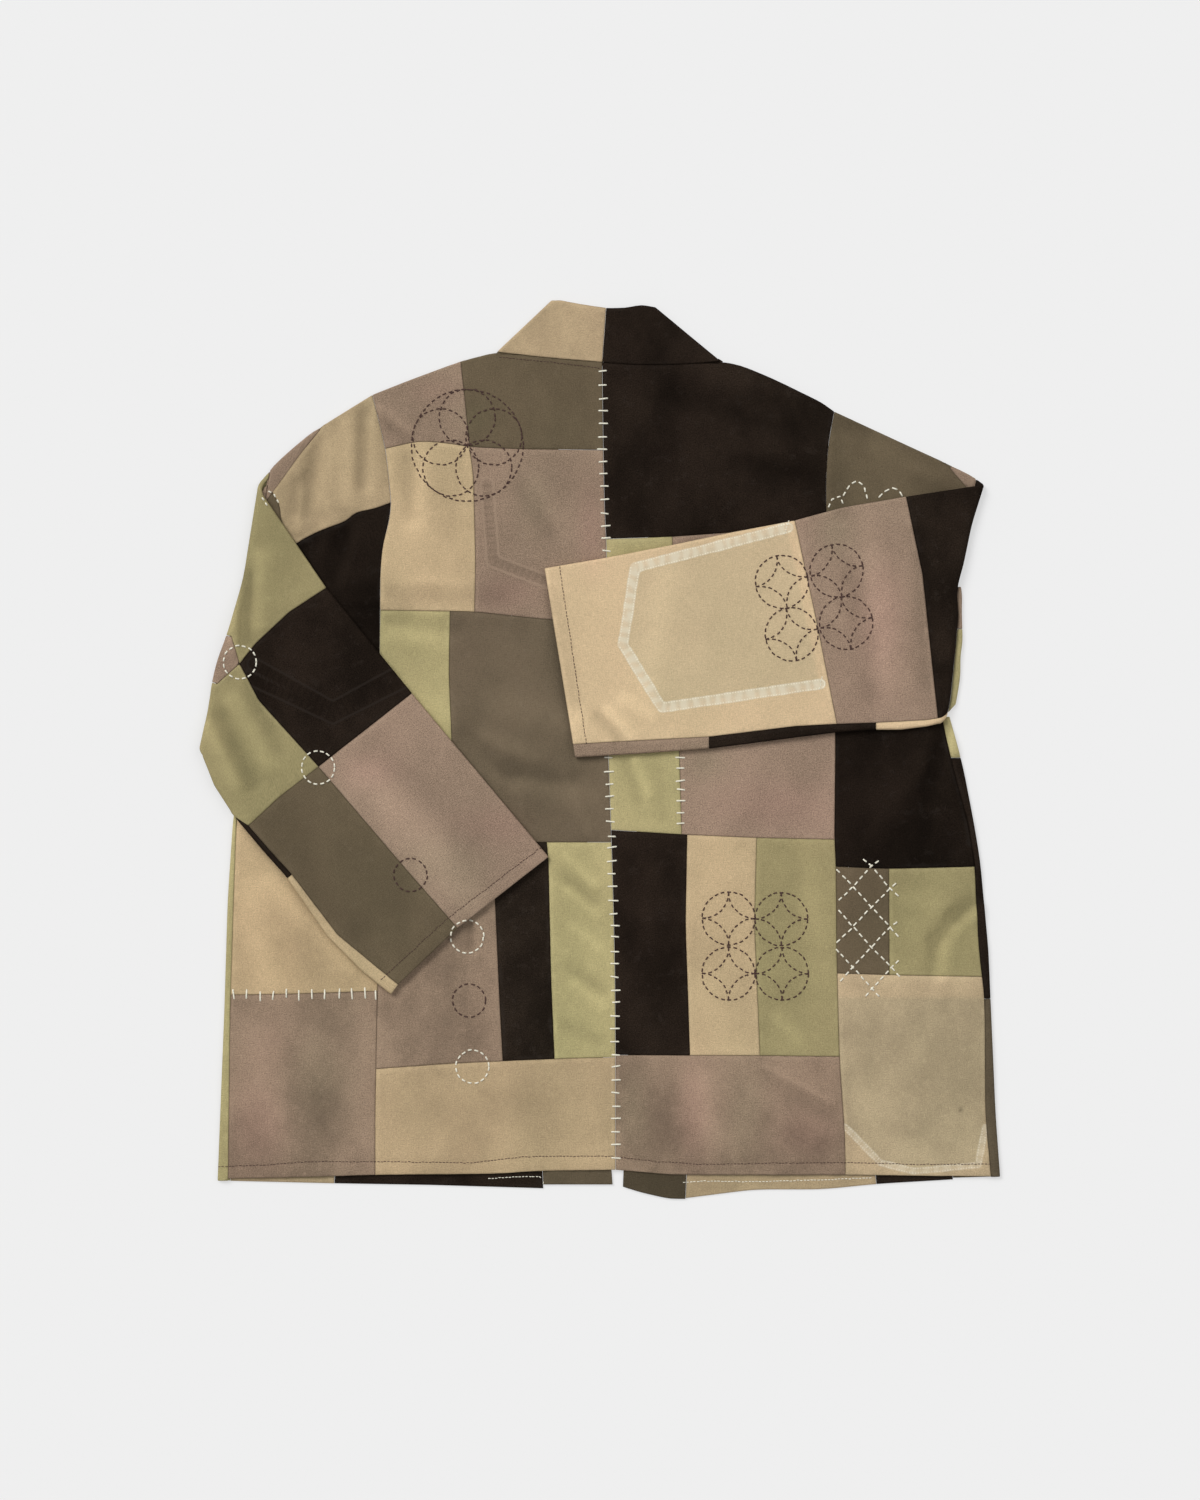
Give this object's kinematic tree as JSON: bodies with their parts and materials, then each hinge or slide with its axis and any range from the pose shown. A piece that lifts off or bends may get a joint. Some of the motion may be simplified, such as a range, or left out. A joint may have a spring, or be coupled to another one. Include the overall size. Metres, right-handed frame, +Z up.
{
  "type": "patched boro jacket",
  "caption": "Long-sleeved patchwork work jacket laid face down on a flat surface, its sleeves folded back over the body.",
  "frame": {"origin": "bottom centre of the whole jacket as it lies, on the surface under it", "axes": "+X to the viewer's right seen from above, +Y up the jacket's back from hem to collar, +Z up from the surface"},
  "size_m": [0.7205, 0.8095, 0.0125],
  "materials": {
    "cloth_tan": "matte woven cotton, washed tan",
    "cloth_pale_tan": "matte woven cotton, pale tan",
    "cloth_taupe": "matte woven cotton, taupe",
    "cloth_olive": "matte woven cotton, dark olive",
    "cloth_grey_olive": "matte woven cotton, grey olive",
    "cloth_dark": "matte woven cotton, dark brown",
    "cloth_green": "matte woven cotton, moss green",
    "cloth_khaki": "matte woven cotton, khaki",
    "cloth_band_olive": "matte woven cotton, dark olive"
  },
  "bodies": {
    "root": {"back_left_yoke_taupe": "cloth_taupe", "back_left_yoke_olive": "cloth_olive", "back_left_tan": "cloth_tan", "back_left_taupe": "cloth_taupe", "back_left_green": "cloth_green", "back_left_grey_olive": "cloth_grey_olive", "back_left_side_tan": "cloth_tan", "back_left_side_taupe": "cloth_taupe", "back_left_middle_taupe": "cloth_taupe", "back_left_dark": "cloth_dark", "back_left_middle_green": "cloth_green", "back_left_hem_tan": "cloth_tan", "back_right_dark": "cloth_dark", "back_right_green": "cloth_green", "back_right_taupe": "cloth_taupe", "back_right_low_dark": "cloth_dark", "back_right_low_tan": "cloth_tan", "back_right_low_green": "cloth_green", "back_right_hem_taupe": "cloth_taupe", "back_right_side_dark": "cloth_dark", "back_right_side_olive": "cloth_olive", "back_right_side_green": "cloth_green", "back_right_side_khaki": "cloth_khaki", "front_left_side_green": "cloth_green", "front_left_tan": "cloth_tan", "front_left_dark": "cloth_dark", "front_left_band": "cloth_band_olive", "front_right_side_green": "cloth_green", "front_right_side_dark": "cloth_dark", "front_right_side_olive": "cloth_band_olive", "front_right_dark": "cloth_dark", "front_right_tan": "cloth_tan", "front_right_band": "cloth_band_olive", "collar_left": "cloth_tan", "collar_right": "cloth_dark", "sleeve_left_arm_tan": "cloth_tan", "sleeve_left_arm_dark": "cloth_dark", "sleeve_left_arm_olive": "cloth_olive", "sleeve_left_arm_front": "cloth_taupe", "sleeve_left_green_upper": "cloth_green", "sleeve_left_small_taupe": "cloth_taupe", "sleeve_left_green_lower": "cloth_green", "sleeve_left_dark": "cloth_dark", "sleeve_left_taupe": "cloth_taupe", "sleeve_left_olive": "cloth_olive", "sleeve_left_strip_dark": "cloth_dark", "sleeve_left_strip_tan": "cloth_tan", "sleeve_left_under": "cloth_taupe", "sleeve_right_arm_olive": "cloth_olive", "sleeve_right_arm_front": "cloth_taupe", "sleeve_right_tan": "cloth_pale_tan", "sleeve_right_taupe": "cloth_taupe", "sleeve_right_dark": "cloth_dark", "sleeve_right_strip_taupe": "cloth_taupe", "sleeve_right_strip_dark": "cloth_dark", "sleeve_right_strip_tan": "cloth_pale_tan", "sleeve_right_under": "cloth_taupe", "sleeve_right_tuck_taupe": "cloth_taupe", "sleeve_right_tuck_green": "cloth_green"}
  },
  "joints": []
}
